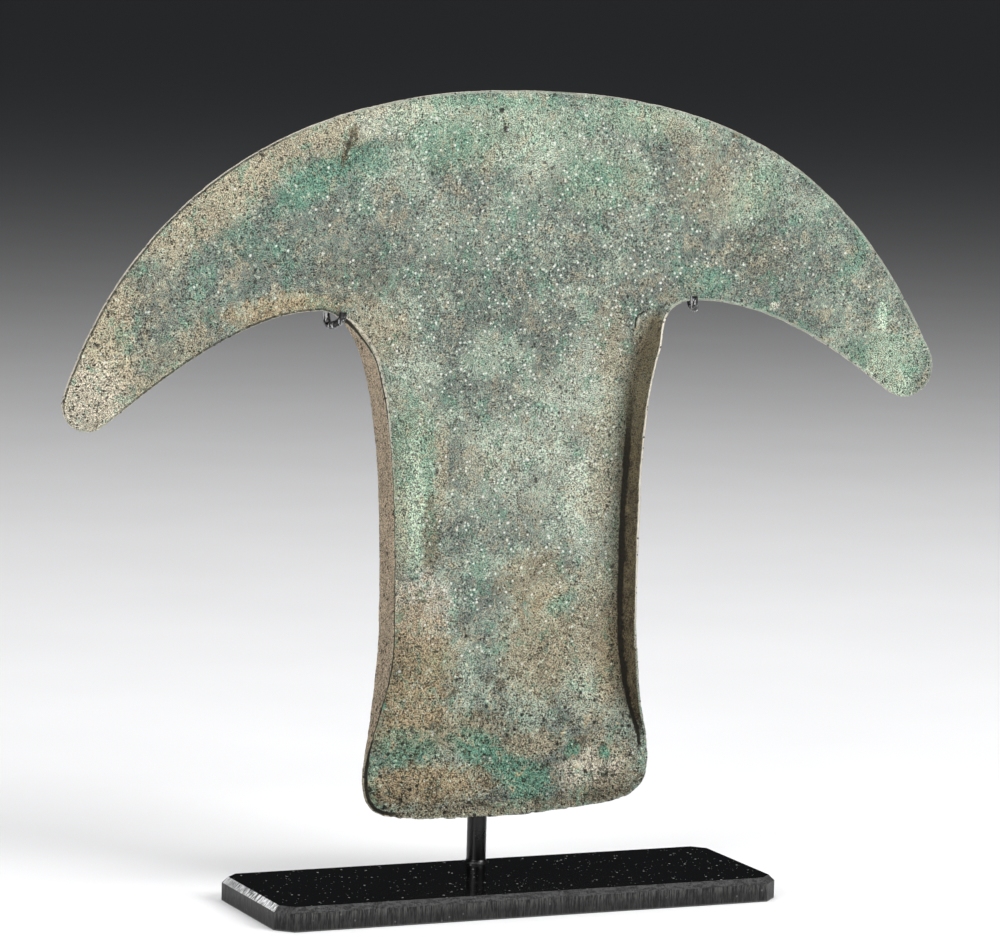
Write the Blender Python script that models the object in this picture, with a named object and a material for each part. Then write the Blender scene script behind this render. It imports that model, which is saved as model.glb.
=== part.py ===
"""A copper blade of hoe currency, held up by a small black display stand.

The blade is one hammered sheet: a wide crescent with two drooping arms, above a shank whose two
long sides are beaten up into thin flanges that face the front. It hangs by the crooks under its
arms in the two hooks of a bent wire. A thin post holds the wire up behind the blade, and stands
near the back of a low base with clipped corners.

The origin is the middle of the base's underside. X runs along the base, +Y to the back and +Z
up. All sizes are in metres, and angles in radians.
"""

import math
from typing import NamedTuple

import bmesh
import bpy
from mathutils import Vector
from mathutils.geometry import interpolate_bezier

MM = 0.001

# Gap that neighbours keep where they touch
CLEARANCE = 0.3 * MM

# Base: a bar of flat stock with clipped corners and a filed top edge
BASE_LENGTH = 84.5 * MM
BASE_DEPTH = 27.8 * MM
BASE_THICKNESS = 3.7 * MM
BASE_CORNER_CUT = 2.5 * MM
BASE_TOP_BEVEL = 0.9 * MM

# Post: a round rod near the base's back edge
POST_DIAMETER = 3.1 * MM
POST_FROM_BACK = 3.0 * MM
POST_FROM_MIDDLE = 0.45 * MM
POST_SIDES = 32

# Wire that carries the blade
WIRE_DIAMETER = 1.2 * MM
WIRE_BAR_ABOVE_CROOK = 4.5 * MM
WIRE_BEND_RADIUS = 3.0 * MM
HOOK_TIP_LENGTH = 0.5 * MM
WIRE_BEVEL_RESOLUTION = 3
ARC_STEPS = 10

# Blade: its centre line, its height over the base and its sheet
BLADE_FROM_MIDDLE = 3.4 * MM
BLADE_ABOVE_BASE = 7.7 * MM
BLADE_HEIGHT = 114.7 * MM
SHEET_THICKNESS = 1.5 * MM
EDGE_THICKNESS = 0.9 * MM
EDGE_TAPER = 3.0 * MM
BACK_EDGE_ROUND = 0.35 * MM

# Flanges: their rim, then the foot of their inner side and the share of their height it keeps
# there, and how they run in and out along the shank
FLANGE_RIM = 0.55 * MM
FLANGE_ROOT = 1.15 * MM
FLANGE_ROOT_SHARE = 0.28
FLANGE_FILLET = 2.0 * MM
FLANGE_FILLET_SHARE = 0.06
FLANGE_RUN_IN = 8.0 * MM
FLANGE_RUN_OUT = 20.0 * MM

# Left side of the blade, measured from its centre line and its lowest point
LEFT_REACH = 74.0 * MM
LEFT_TIP_HEIGHT = 62.25 * MM
LEFT_TIP_RADIUS = 4.2 * MM
LEFT_TIP_OUTER_ANGLE = 0.37
LEFT_TIP_UNDER_SLOPE = 0.55
LEFT_CROOK_OUT = 32.8 * MM
LEFT_CROOK_HEIGHT = 80.4 * MM
LEFT_WAIST_HALF = 21.6 * MM
LEFT_WAIST_HEIGHT = 29.7 * MM
LEFT_FOOT_HALF = 23.8 * MM
LEFT_FOOT_HEIGHT = 7.6 * MM
LEFT_CORNER_IN = 5.8 * MM
LEFT_CORNER_RISE = 0.55 * MM
LEFT_FLANGE_RISE = 5.4 * MM
LEFT_HOOK_INBOARD = 1.8 * MM
LEFT_HOOK_DROP = 2.2 * MM
LEFT_HOOK_LEAN = 1.5 * MM

# Right side of the blade
RIGHT_REACH = 74.9 * MM
RIGHT_TIP_HEIGHT = 65.75 * MM
RIGHT_TIP_RADIUS = 5.0 * MM
RIGHT_TIP_OUTER_ANGLE = 0.48
RIGHT_TIP_UNDER_SLOPE = 0.48
RIGHT_CROOK_OUT = 31.3 * MM
RIGHT_CROOK_HEIGHT = 81.7 * MM
RIGHT_WAIST_HALF = 20.4 * MM
RIGHT_WAIST_HEIGHT = 34.0 * MM
RIGHT_FOOT_HALF = 25.5 * MM
RIGHT_FOOT_HEIGHT = 8.0 * MM
RIGHT_CORNER_IN = 6.7 * MM
RIGHT_CORNER_RISE = 1.4 * MM
RIGHT_FLANGE_RISE = 4.9 * MM
RIGHT_HOOK_INBOARD = 0.0 * MM
RIGHT_HOOK_DROP = 1.3 * MM
RIGHT_HOOK_LEAN = 0.9 * MM

# How far each stretch of the outline keeps the direction of its two ends, as shares of the
# distance between them: crown to tip, tip to crook, crook to waist, waist to foot, foot to
# corner, corner to middle
LEFT_PULLS = ((0.68, 0.07), (0.09, 0.37), (0.17, 0.58), (0.31, 0.08), (0.52, 0.47), (0.33, 0.40))
RIGHT_PULLS = ((0.43, 0.40), (0.08, 0.43), (0.23, 0.51), (0.61, 0.26), (0.48, 0.40), (0.33, 0.40))
# Points on each of those stretches, and round a tip
STRETCH_POINTS = (22, 14, 24, 12, 8, 8)
TIP_POINTS = 9
# Slope of the blade's lower edge where it turns into a corner of the foot
CORNER_SLOPE = 0.11

OUTWARD = Vector((1.0, 0.0))
INWARD = Vector((-1.0, 0.0))
DOWNWARD = Vector((0.0, -1.0))

# Bends sharper than this keep a crisp edge
SHARP_ANGLE = math.radians(35.0)

# Colour, roughness and metallic value of each finish
COPPER_PATINA = ((0.31, 0.35, 0.29), 0.85, 0.1)
BLACK_PAINT = ((0.012, 0.012, 0.013), 0.3, 0.0)
BLACK_WIRE = ((0.03, 0.03, 0.032), 0.35, 0.5)


class Flank(NamedTuple):
    """Sizes of one side of the blade; side is -1 on the left and 1 on the right."""

    side: int
    reach: float
    tip_height: float
    tip_radius: float
    tip_outer_angle: float
    tip_under_slope: float
    crook: Vector
    waist: Vector
    foot: Vector
    corner: Vector
    flange_rise: float
    hook_out: float
    hook_drop: float
    hook_lean: float
    pulls: tuple


LEFT = Flank(
    side=-1,
    reach=LEFT_REACH,
    tip_height=LEFT_TIP_HEIGHT,
    tip_radius=LEFT_TIP_RADIUS,
    tip_outer_angle=LEFT_TIP_OUTER_ANGLE,
    tip_under_slope=LEFT_TIP_UNDER_SLOPE,
    crook=Vector((LEFT_CROOK_OUT, LEFT_CROOK_HEIGHT)),
    waist=Vector((LEFT_WAIST_HALF, LEFT_WAIST_HEIGHT)),
    foot=Vector((LEFT_FOOT_HALF, LEFT_FOOT_HEIGHT)),
    corner=Vector((LEFT_FOOT_HALF - LEFT_CORNER_IN, LEFT_CORNER_RISE)),
    flange_rise=LEFT_FLANGE_RISE,
    hook_out=LEFT_CROOK_OUT - LEFT_HOOK_INBOARD,
    hook_drop=LEFT_HOOK_DROP,
    hook_lean=LEFT_HOOK_LEAN,
    pulls=LEFT_PULLS,
)
RIGHT = Flank(
    side=1,
    reach=RIGHT_REACH,
    tip_height=RIGHT_TIP_HEIGHT,
    tip_radius=RIGHT_TIP_RADIUS,
    tip_outer_angle=RIGHT_TIP_OUTER_ANGLE,
    tip_under_slope=RIGHT_TIP_UNDER_SLOPE,
    crook=Vector((RIGHT_CROOK_OUT, RIGHT_CROOK_HEIGHT)),
    waist=Vector((RIGHT_WAIST_HALF, RIGHT_WAIST_HEIGHT)),
    foot=Vector((RIGHT_FOOT_HALF, RIGHT_FOOT_HEIGHT)),
    corner=Vector((RIGHT_FOOT_HALF - RIGHT_CORNER_IN, RIGHT_CORNER_RISE)),
    flange_rise=RIGHT_FLANGE_RISE,
    hook_out=RIGHT_CROOK_OUT - RIGHT_HOOK_INBOARD,
    hook_drop=RIGHT_HOOK_DROP,
    hook_lean=RIGHT_HOOK_LEAN,
    pulls=RIGHT_PULLS,
)

# Places that follow from the sizes: the post, the blade in front of it, and the wire
WIRE_RADIUS = WIRE_DIAMETER / 2
POST_Y = BASE_DEPTH / 2 - POST_FROM_BACK
BLADE_BACK_Y = POST_Y - POST_DIAMETER / 2 - CLEARANCE
BLADE_BOTTOM_Z = BASE_THICKNESS + BLADE_ABOVE_BASE
WIRE_BACK_Y = BLADE_BACK_Y + CLEARANCE + WIRE_RADIUS
WIRE_FRONT_Y = BLADE_BACK_Y - SHEET_THICKNESS - CLEARANCE - WIRE_RADIUS
WIRE_BAR_Z = BLADE_BOTTOM_Z + max(LEFT_CROOK_HEIGHT, RIGHT_CROOK_HEIGHT) + WIRE_BAR_ABOVE_CROOK


def smooth(share):
    """Ease from 0 to 1 as the share runs from 0 to 1."""
    share = min(max(share, 0.0), 1.0)
    return share * share * (3.0 - 2.0 * share)


def stretch(start, start_way, end, end_way, pulls, count):
    """Points on one Bezier stretch of the outline, without its last point."""
    chord = (end - start).length
    first_handle = start + start_way * (pulls[0] * chord)
    last_handle = end - end_way * (pulls[1] * chord)
    return interpolate_bezier(start, first_handle, last_handle, end, count + 1)[:-1]


def flange_rise(flank, height):
    """How far the flange stands out of the blade's edge at a height on the shank."""
    run_in = smooth((flank.crook.y - height) / FLANGE_RUN_IN)
    run_out = smooth((height - flank.foot.y) / FLANGE_RUN_OUT)
    return flank.flange_rise * run_in * run_out


def half_outline(flank):
    """Outline of one side from the crown to the foot's middle, as (out, height, rise) points."""
    tip_centre = Vector((flank.reach - flank.tip_radius, flank.tip_height + flank.tip_radius))
    first_angle = flank.tip_outer_angle
    last_angle = -math.pi / 2 - flank.tip_under_slope

    def on_tip(angle):
        return tip_centre + flank.tip_radius * Vector((math.cos(angle), math.sin(angle)))

    def along_tip(angle):
        return Vector((math.sin(angle), -math.cos(angle)))

    crown = Vector((0.0, BLADE_HEIGHT))
    middle = Vector((0.0, 0.0))
    corner_way = Vector((-math.cos(CORNER_SLOPE), -math.sin(CORNER_SLOPE)))
    ends = (
        (crown, OUTWARD, on_tip(first_angle), along_tip(first_angle)),
        (on_tip(last_angle), along_tip(last_angle), flank.crook, INWARD),
        (flank.crook, INWARD, flank.waist, DOWNWARD),
        (flank.waist, DOWNWARD, flank.foot, DOWNWARD),
        (flank.foot, DOWNWARD, flank.corner, corner_way),
        (flank.corner, corner_way, middle, INWARD),
    )
    sizes = zip(ends, flank.pulls, STRETCH_POINTS)
    runs = [stretch(*end, pulls, count) for end, pulls, count in sizes]
    turn = (last_angle - first_angle) / TIP_POINTS
    tip_arc = [on_tip(first_angle + turn * index) for index in range(TIP_POINTS)]
    crown_run, under_run, *shank_runs = runs

    points = [(point.x, point.y, 0.0) for point in crown_run + tip_arc + under_run]
    for run in shank_runs:
        points.extend((point.x, point.y, flange_rise(flank, point.y)) for point in run)
    return points


def blade_outline():
    """The whole outline, clockwise from the crown as the front shows it."""
    right = [(RIGHT.side * out, height, rise) for out, height, rise in half_outline(RIGHT)]
    left = [(LEFT.side * out, height, rise) for out, height, rise in half_outline(LEFT)]
    foot_middle = (0.0, 0.0, 0.0)
    return right + [foot_middle] + left[:0:-1]


def blade_depth(inset, rise):
    """Distance from the back of the blade to its front, at an inset from the outline."""
    sheet = EDGE_THICKNESS + (SHEET_THICKNESS - EDGE_THICKNESS) * smooth(inset / EDGE_TAPER)
    if inset <= FLANGE_RIM:
        return sheet + rise
    if inset <= FLANGE_ROOT:
        return sheet + rise * FLANGE_ROOT_SHARE
    if inset <= FLANGE_FILLET:
        return sheet + rise * FLANGE_FILLET_SHARE
    return sheet


def finish(name, look):
    """A plain surface of one colour, roughness and metallic value."""
    colour, roughness, metallic = look
    material = bpy.data.materials.new(name)
    material.use_nodes = True
    shader = material.node_tree.nodes["Principled BSDF"]
    shader.inputs["Base Color"].default_value = (*colour, 1.0)
    shader.inputs["Roughness"].default_value = roughness
    shader.inputs["Metallic"].default_value = metallic
    return material


def add_mesh_object(name, bm, collection, material):
    """Turn a bmesh into a smooth-shaded object with sharp edges."""
    mesh = bpy.data.meshes.new(name)
    bm.to_mesh(mesh)
    bm.free()
    mesh.shade_smooth()
    mesh.set_sharp_from_angle(angle=SHARP_ANGLE)
    mesh.materials.append(material)
    solid = bpy.data.objects.new(name, mesh)
    collection.objects.link(solid)
    return solid


def inset_rings(bm, face, insets):
    """Inset a flat face to each inset in turn; the points at each, the outermost first."""
    rings = []
    reached = 0.0
    for inset in insets:
        strip = bmesh.ops.inset_region(bm, faces=[face], thickness=inset - reached, use_even_offset=True)
        rings.append({vert for quad in strip["faces"] for vert in quad.verts} - set(face.verts))
        reached = inset
    rings.append(set(face.verts))
    return rings


def build_blade(collection):
    """The blade: its flat outline made two faces, inset in rings that shape edge and flanges."""
    bm = bmesh.new()
    rise = bm.verts.layers.float.new("flange_rise")
    rim = []
    for x, z, height in blade_outline():
        vert = bm.verts.new((x, 0.0, z))
        vert[rise] = height
        rim.append(vert)
    back = bm.faces.new(rim)
    extruded = bmesh.ops.extrude_face_region(bm, geom=[back], use_keep_orig=True)
    front = next(item for item in extruded["geom"] if isinstance(item, bmesh.types.BMFace))

    insets = (0.0, FLANGE_RIM, FLANGE_ROOT, FLANGE_FILLET, EDGE_TAPER)
    for inset, ring in zip(insets, inset_rings(bm, front, insets[1:])):
        for vert in ring:
            vert.co.y = -blade_depth(inset, vert[rise])
    back_edge, _ = inset_rings(bm, back, (BACK_EDGE_ROUND,))
    for vert in back_edge:
        vert.co.y = -BACK_EDGE_ROUND

    bmesh.ops.triangulate(bm, faces=[front, back])
    bmesh.ops.recalc_face_normals(bm, faces=bm.faces)
    blade = add_mesh_object("hoe_blade", bm, collection, finish("copper_patina", COPPER_PATINA))
    blade.location = (BLADE_FROM_MIDDLE, BLADE_BACK_Y, BLADE_BOTTOM_Z)


def build_base(collection):
    """The base: a flat bar, its upright edges clipped and its top edge filed."""
    bm = bmesh.new()
    bmesh.ops.create_cube(bm, size=1.0)
    bmesh.ops.scale(bm, vec=(BASE_LENGTH, BASE_DEPTH, BASE_THICKNESS), verts=bm.verts)
    bmesh.ops.translate(bm, vec=(0.0, 0.0, BASE_THICKNESS / 2), verts=bm.verts)

    upright = [edge for edge in bm.edges if edge.verts[0].co.z != edge.verts[1].co.z]
    bmesh.ops.bevel(bm, geom=upright, offset=BASE_CORNER_CUT, segments=1, affect="EDGES")
    top = max(bm.faces, key=lambda face: face.calc_center_median().z)
    bmesh.ops.bevel(bm, geom=list(top.edges), offset=BASE_TOP_BEVEL, segments=1, affect="EDGES")
    add_mesh_object("stand_base", bm, collection, finish("base_paint", BLACK_PAINT))


def build_post(collection):
    """The post: a round rod from the base up to the wire."""
    foot_z = BASE_THICKNESS + CLEARANCE
    top_z = WIRE_BAR_Z - WIRE_RADIUS - CLEARANCE
    bm = bmesh.new()
    bmesh.ops.create_cone(
        bm,
        cap_ends=True,
        segments=POST_SIDES,
        radius1=POST_DIAMETER / 2,
        radius2=POST_DIAMETER / 2,
        depth=top_z - foot_z,
    )
    post = add_mesh_object("stand_post", bm, collection, finish("post_paint", BLACK_PAINT))
    post.location = (POST_FROM_MIDDLE, POST_Y, (foot_z + top_z) / 2)


def hook_path(flank):
    """Middle of the wire from a hook's tip, under the crook and up to the end of its bend."""
    turn_radius = (WIRE_BACK_Y - WIRE_FRONT_Y) / 2
    turn_y = (WIRE_BACK_Y + WIRE_FRONT_Y) / 2
    turn_z = BLADE_BOTTOM_Z + flank.crook.y - flank.hook_drop + turn_radius
    back_x = BLADE_FROM_MIDDLE + flank.side * flank.hook_out
    tip_x = back_x - flank.side * flank.hook_lean

    points = [Vector((tip_x, WIRE_FRONT_Y, turn_z + HOOK_TIP_LENGTH))]
    for step in range(ARC_STEPS + 1):
        angle = math.pi * step / ARC_STEPS
        forward = (1.0 + math.cos(angle)) / 2
        x = back_x + (tip_x - back_x) * forward**3
        y = turn_y - turn_radius * math.cos(angle)
        points.append(Vector((x, y, turn_z - turn_radius * math.sin(angle))))

    for step in range(ARC_STEPS + 1):
        angle = math.pi / 2 * step / ARC_STEPS
        inboard = WIRE_BEND_RADIUS * (1.0 - math.cos(angle))
        below = WIRE_BEND_RADIUS * (1.0 - math.sin(angle))
        points.append(Vector((back_x - flank.side * inboard, WIRE_BACK_Y, WIRE_BAR_Z - below)))
    return points


def build_wire(collection):
    """The wire: one hook, a straight bar behind the blade and the other hook."""
    path = hook_path(LEFT) + hook_path(RIGHT)[::-1]
    curve = bpy.data.curves.new("cradle_wire", "CURVE")
    curve.dimensions = "3D"
    curve.bevel_depth = WIRE_RADIUS
    curve.bevel_resolution = WIRE_BEVEL_RESOLUTION
    curve.use_fill_caps = True
    spline = curve.splines.new("POLY")
    spline.points.add(len(path) - 1)
    for point, place in zip(spline.points, path):
        point.co = (*place, 1.0)
    curve.materials.append(finish("wire_black", BLACK_WIRE))
    wire = bpy.data.objects.new("cradle_wire", curve)
    collection.objects.link(wire)


def main():
    for leftover in list(bpy.data.objects):
        bpy.data.objects.remove(leftover, do_unlink=True)
    collection = bpy.data.collections.new("copper_hoe_currency")
    bpy.context.scene.collection.children.link(collection)
    build_base(collection)
    build_post(collection)
    build_wire(collection)
    build_blade(collection)


main()
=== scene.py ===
"""Looks of a copper hoe currency blade on its black display stand.

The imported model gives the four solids. The blade gets a fine corroded surface of its own, and the
base, the post and the wire get their paint, file marks and dust. All sizes are in metres.
"""

import math

import bmesh
import bpy
import numpy as np
from bpy.props import FloatProperty, FloatVectorProperty, PointerProperty
from mathutils import Matrix, Vector, kdtree, noise
from mathutils.geometry import delaunay_2d_cdt


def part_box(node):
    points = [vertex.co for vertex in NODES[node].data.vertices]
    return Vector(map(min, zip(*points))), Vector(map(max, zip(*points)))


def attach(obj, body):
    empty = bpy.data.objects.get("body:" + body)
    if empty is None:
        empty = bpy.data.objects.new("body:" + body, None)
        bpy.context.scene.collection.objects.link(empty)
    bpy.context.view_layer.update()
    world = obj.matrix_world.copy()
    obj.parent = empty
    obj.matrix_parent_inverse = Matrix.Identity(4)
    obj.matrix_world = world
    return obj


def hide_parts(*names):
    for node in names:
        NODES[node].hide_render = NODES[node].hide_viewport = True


bl_info = {
    "name": "Copper Hoe Currency",
    "version": (1, 0, 0),
    "blender": (4, 5, 0),
    "location": "3D View > Sidebar > Hoe Currency",
    "description": "Builds the corroded copper blade, its black stand and the studio around them",
    "category": "Object",
}

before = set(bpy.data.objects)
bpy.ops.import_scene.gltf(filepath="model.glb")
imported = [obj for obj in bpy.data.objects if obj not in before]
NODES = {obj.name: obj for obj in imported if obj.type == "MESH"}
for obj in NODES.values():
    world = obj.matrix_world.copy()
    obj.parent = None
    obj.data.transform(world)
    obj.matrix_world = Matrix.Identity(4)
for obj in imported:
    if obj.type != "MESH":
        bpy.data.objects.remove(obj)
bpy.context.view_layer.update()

MM = 0.001
BODY = "root"

# The photograph's camera, as fitted to the stand and the blade
CAMERA_AZIMUTH = math.radians(23.837)
CAMERA_ELEVATION = math.radians(6.383)
CAMERA_ROLL = math.radians(1.555)
CAMERA_DISTANCE = 696.474 * MM
CAMERA_TARGET = Vector((-2.031, 0.0, 67.874)) * MM

# The blade's edge, as the solid has it
BLADE_BACK_ROUND = 0.35 * MM
EDGE_THICKNESS = 0.9 * MM
SHEET_THICKNESS = 1.5 * MM
EDGE_TAPER = 3.0 * MM

# Steps along the edge, rows up the side, and points over the front and back of the sheet
EDGE_STEP = 0.42 * MM
FRONT_STEP = 0.47 * MM
BACK_STEP = 1.0 * MM
SIDE_ROWS = 9
BAND_WIDTH = 2.0 * MM
BACK_BAND = 0.4 * MM

# Corrosion has eaten at least this much of the edge
LEAST_LOSS = 0.02 * MM

# Inset from the edge, and share of the flange's height left there
FLANGE_PROFILE = (
    (0.0, 0.98),
    (0.12, 1.0),
    (0.3, 1.0),
    (0.46, 0.97),
    (0.58, 0.88),
    (0.68, 0.74),
    (0.79, 0.60),
    (0.91, 0.46),
    (1.04, 0.34),
    (1.2, 0.24),
    (1.42, 0.15),
    (1.7, 0.09),
    (2.0, 0.05),
)

# Knobs and hollows: place across and up the blade, half width, height, all in millimetres
KNOBS = (
    (15.3, 21.8, 1.3, 0.34),
    (20.9, 21.0, 1.2, 0.32),
    (48.7, 92.2, 0.7, 0.16),
    (-24.5, 119.8, 1.0, -0.28),
    (-25.3, 117.2, 0.9, -0.25),
    (-26.3, 115.0, 1.0, -0.3),
    (0.9, 120.0, 0.7, -0.3),
    (0.0, 123.0, 0.6, -0.25),
    (25.6, 91.4, 0.45, -0.3),
    (24.8, 91.0, 0.4, -0.35),
    (24.35, 90.4, 0.4, -0.35),
    (24.2, 89.6, 0.4, -0.3),
    (24.1, 88.8, 0.4, -0.25),
    (-47.0, 95.5, 1.3, -0.22),
    (-52.5, 93.5, 1.0, -0.2),
    (41.6, 119.6, 1.1, -0.3),
)
# Ring-shaped hollow with a raised lip
CRATER = (44.2, 97.8, 0.9, 0.16)

# Patches of colour: place across and up the blade and half sizes in millimetres, turn in
# degrees, finish and strength
PATCHES = (
    (-62.0, 86.0, 15.0, 16.0, 0.0, "tan", 0.95),
    (-44.0, 110.5, 25.0, 4.8, 42.0, "tan", 0.9),
    (-66.0, 77.5, 7.0, 7.0, 0.0, "rim", 0.3),
    (-54.5, 92.0, 6.0, 4.5, 30.0, "shade", 0.9),
    (-57.1, 97.7, 3.6, 2.6, 20.0, "shade", 0.75),
    (-55.5, 85.5, 4.5, 4.0, 40.0, "shade", 0.65),
    (-47.0, 98.0, 7.0, 4.6, 30.0, "shade", 0.85),
    (-40.0, 98.0, 11.0, 6.5, 10.0, "shade", 1.0),
    (-42.5, 102.5, 4.0, 3.4, 0.0, "teal", 0.3),
    (-31.0, 105.5, 9.0, 6.0, 0.0, "shade", 0.9),
    (-31.0, 111.5, 7.5, 3.0, 35.0, "teal", 0.75),
    (-33.0, 101.0, 7.0, 2.6, 0.0, "teal", 0.4),
    (-22.5, 115.5, 4.2, 3.4, 0.0, "teal", 0.6),
    (-26.0, 119.5, 8.5, 3.0, 24.0, "tan", 0.8),
    (-15.5, 123.0, 7.5, 2.4, 8.0, "tan", 0.75),
    (-18.0, 121.5, 8.0, 2.6, 14.0, "pale", 0.7),
    (-25.5, 100.0, 10.0, 8.0, 0.0, "shade", 0.9),
    (-33.0, 92.8, 13.0, 2.4, 8.0, "ochre", 0.75),
    (-19.5, 88.5, 6.0, 4.5, -20.0, "tan", 0.7),
    (-25.0, 97.5, 8.0, 4.2, 0.0, "shade", 1.0),
    (-1.2, 119.5, 17.0, 6.0, 0.0, "green", 0.75),
    (-9.0, 117.0, 6.0, 4.0, 0.0, "teal", 0.45),
    (2.0, 122.5, 14.0, 2.6, 0.0, "pale", 0.25),
    (0.5, 124.2, 14.0, 1.2, 0.0, "teal", 0.5),
    (-2.0, 101.0, 17.0, 9.0, 0.0, "shade", 0.55),
    (9.0, 116.0, 10.0, 4.0, 0.0, "pale", 0.4),
    (17.5, 112.0, 8.5, 5.0, 0.0, "green", 0.6),
    (16.0, 113.0, 5.0, 2.5, 0.0, "teal", 0.4),
    (24.0, 121.5, 8.0, 2.6, -10.0, "green", 0.75),
    (32.0, 119.5, 7.0, 2.6, -18.0, "tan", 0.4),
    (36.5, 110.0, 7.0, 6.0, -20.0, "tan", 0.5),
    (44.6, 110.5, 4.0, 5.5, -35.0, "green", 0.65),
    (29.0, 104.0, 9.5, 6.0, 0.0, "shade", 0.65),
    (40.0, 98.5, 10.5, 5.5, -15.0, "shade", 0.95),
    (36.0, 96.5, 5.0, 2.6, -15.0, "teal", 0.45),
    (51.5, 96.0, 9.5, 8.0, -38.0, "shade", 0.9),
    (46.0, 100.0, 6.0, 4.0, -30.0, "earth", 0.3),
    (-24.0, 97.0, 7.0, 4.0, 0.0, "earth", 0.22),
    (62.5, 99.0, 1.9, 5.5, -38.0, "teal", 0.5),
    (68.3, 90.2, 1.0, 3.0, 0.0, "bloom", 0.9),
    (69.0, 81.5, 6.5, 7.0, -20.0, "green", 0.7),
    (70.0, 80.5, 5.0, 4.5, -20.0, "bloom", 0.45),
    (66.0, 80.0, 3.5, 2.2, -30.0, "pale", 0.6),
    (15.5, 80.0, 6.0, 8.0, 0.0, "pale", 0.6),
    (20.0, 86.0, 2.8, 8.0, 0.0, "tan", 0.6),
    (-13.5, 66.0, 4.6, 14.0, 0.0, "green", 0.85),
    (-12.5, 62.0, 3.2, 10.0, 0.0, "bloom", 0.75),
    (-11.0, 68.0, 1.5, 6.0, 0.0, "teal", 0.55),
    (-15.5, 57.0, 2.0, 10.0, 0.0, "tan", 0.5),
    (-10.2, 56.0, 1.5, 7.5, 0.0, "earth", 0.75),
    (-8.5, 67.0, 1.2, 8.0, 0.0, "tan", 0.6),
    (-13.0, 82.0, 4.0, 6.0, 20.0, "pale", 0.4),
    (-2.0, 67.5, 4.0, 3.0, 0.0, "tan", 0.5),
    (6.0, 68.0, 11.0, 12.0, 0.0, "pale", 0.35),
    (17.0, 61.4, 4.4, 11.0, 0.0, "pale", 0.7),
    (19.0, 68.0, 2.6, 12.0, 0.0, "tan", 0.5),
    (3.0, 46.0, 6.0, 5.0, 0.0, "shade", 0.4),
    (8.0, 49.0, 6.5, 5.0, 0.0, "ochre", 0.45),
    (9.8, 38.0, 8.0, 9.0, 0.0, "ochre", 0.5),
    (12.5, 45.0, 3.0, 1.5, 20.0, "teal", 0.6),
    (-8.5, 36.5, 2.4, 2.4, 0.0, "teal", 0.8),
    (-12.0, 45.0, 6.0, 6.0, 0.0, "rim", 0.45),
    (-13.5, 35.0, 8.0, 13.0, 0.0, "ochre", 0.75),
    (-17.8, 29.9, 0.9, 0.9, 0.0, "teal", 1.0),
    (19.2, 38.0, 5.5, 14.0, 0.0, "tan", 0.7),
    (17.0, 31.0, 4.5, 5.0, 0.0, "pale", 0.45),
    (21.0, 36.0, 2.2, 8.0, 0.0, "ochre", 0.5),
    (-8.0, 25.5, 13.0, 3.6, 0.0, "ochre", 0.5),
    (-13.0, 22.8, 5.5, 3.6, 0.0, "teal", 0.75),
    (1.0, 21.5, 8.0, 3.2, -28.0, "teal", 0.9),
    (7.5, 17.0, 5.0, 3.0, -10.0, "teal", 0.9),
    (8.5, 23.0, 5.5, 2.4, 0.0, "tan", 0.85),
    (20.0, 18.5, 7.5, 5.5, 0.0, "tan", 0.75),
    (18.5, 18.5, 6.0, 3.5, 0.0, "rim", 0.4),
    (-11.0, 17.2, 12.5, 3.4, 0.0, "ochre", 0.85),
    (-13.0, 15.8, 9.0, 2.2, 0.0, "earth", 0.35),
    (-2.0, 12.4, 22.0, 1.5, 2.0, "tan", 0.75),
    (21.0, 14.5, 5.0, 3.0, 0.0, "earth", 0.5),
    (15.3, 21.8, 1.7, 1.7, 0.0, "earth", 0.7),
    (15.3, 21.8, 1.25, 1.25, 0.0, "teal", 1.0),
    (20.9, 21.0, 1.6, 1.6, 0.0, "earth", 0.7),
    (20.9, 21.0, 1.2, 1.2, 0.0, "teal", 1.0),
    (48.7, 92.2, 0.8, 0.8, 0.0, "rim", 1.0),
    (41.6, 119.6, 1.1, 0.7, -25.0, "earth", 1.0),
    (-24.6, 119.0, 0.9, 1.6, 0.0, "earth", 0.9),
    (-25.6, 116.4, 0.7, 2.2, -15.0, "earth", 0.9),
)

# Cracks and deep pits over every patch, given in the same way
CRACKS = (
    (25.15, 91.15, 0.85, 0.16, 29.0, "pit", 1.0),
    (24.33, 90.3, 0.65, 0.19, 75.0, "pit", 1.0),
    (24.15, 89.3, 0.7, 0.19, 84.0, "pit", 1.0),
    (23.85, 88.45, 0.2, 0.2, 0.0, "pit", 1.0),
    (23.75, 87.7, 0.17, 0.17, 0.0, "pit", 0.9),
    # A painted highlight along the crack's edge
    (24.68, 90.0, 0.8, 0.14, 78.0, "rim", 0.5),
    (-25.3, 117.5, 0.3, 2.2, -15.0, "pit", 0.7),
    (0.9, 120.0, 0.5, 0.6, 0.0, "pit", 0.9),
    (0.0, 122.9, 0.55, 0.45, 0.0, "pit", 0.9),
)

# Patches with smaller half sizes, in millimetres, are marks of the front alone
MARK_SIZE = 3.3

# How much brighter a grain gets for each step of its noise
GRAIN_CONTRAST = 2.3

# Points closer than this are one
SAME = 1e-6

WIRE_RADIUS = 0.6 * MM

# Fillet round the post's foot: how far each ring stands out of the post and how high it lies, as
# shares of the fillet's width; the last ring lies just clear of the post's side
FOOT_RINGS = ((1.0, 0.0), (0.55, 0.18), (0.22, 0.5))
POST_CLEARANCE = 0.02 * MM

# Braze on the post's top: each ring's radius as a share of the post's, and its height above it
BRAZE_RINGS = (
    (0.8, -0.35 * MM),
    (0.94, -0.05 * MM),
    (0.8, 0.3 * MM),
    (0.5, 0.75 * MM),
)

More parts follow.
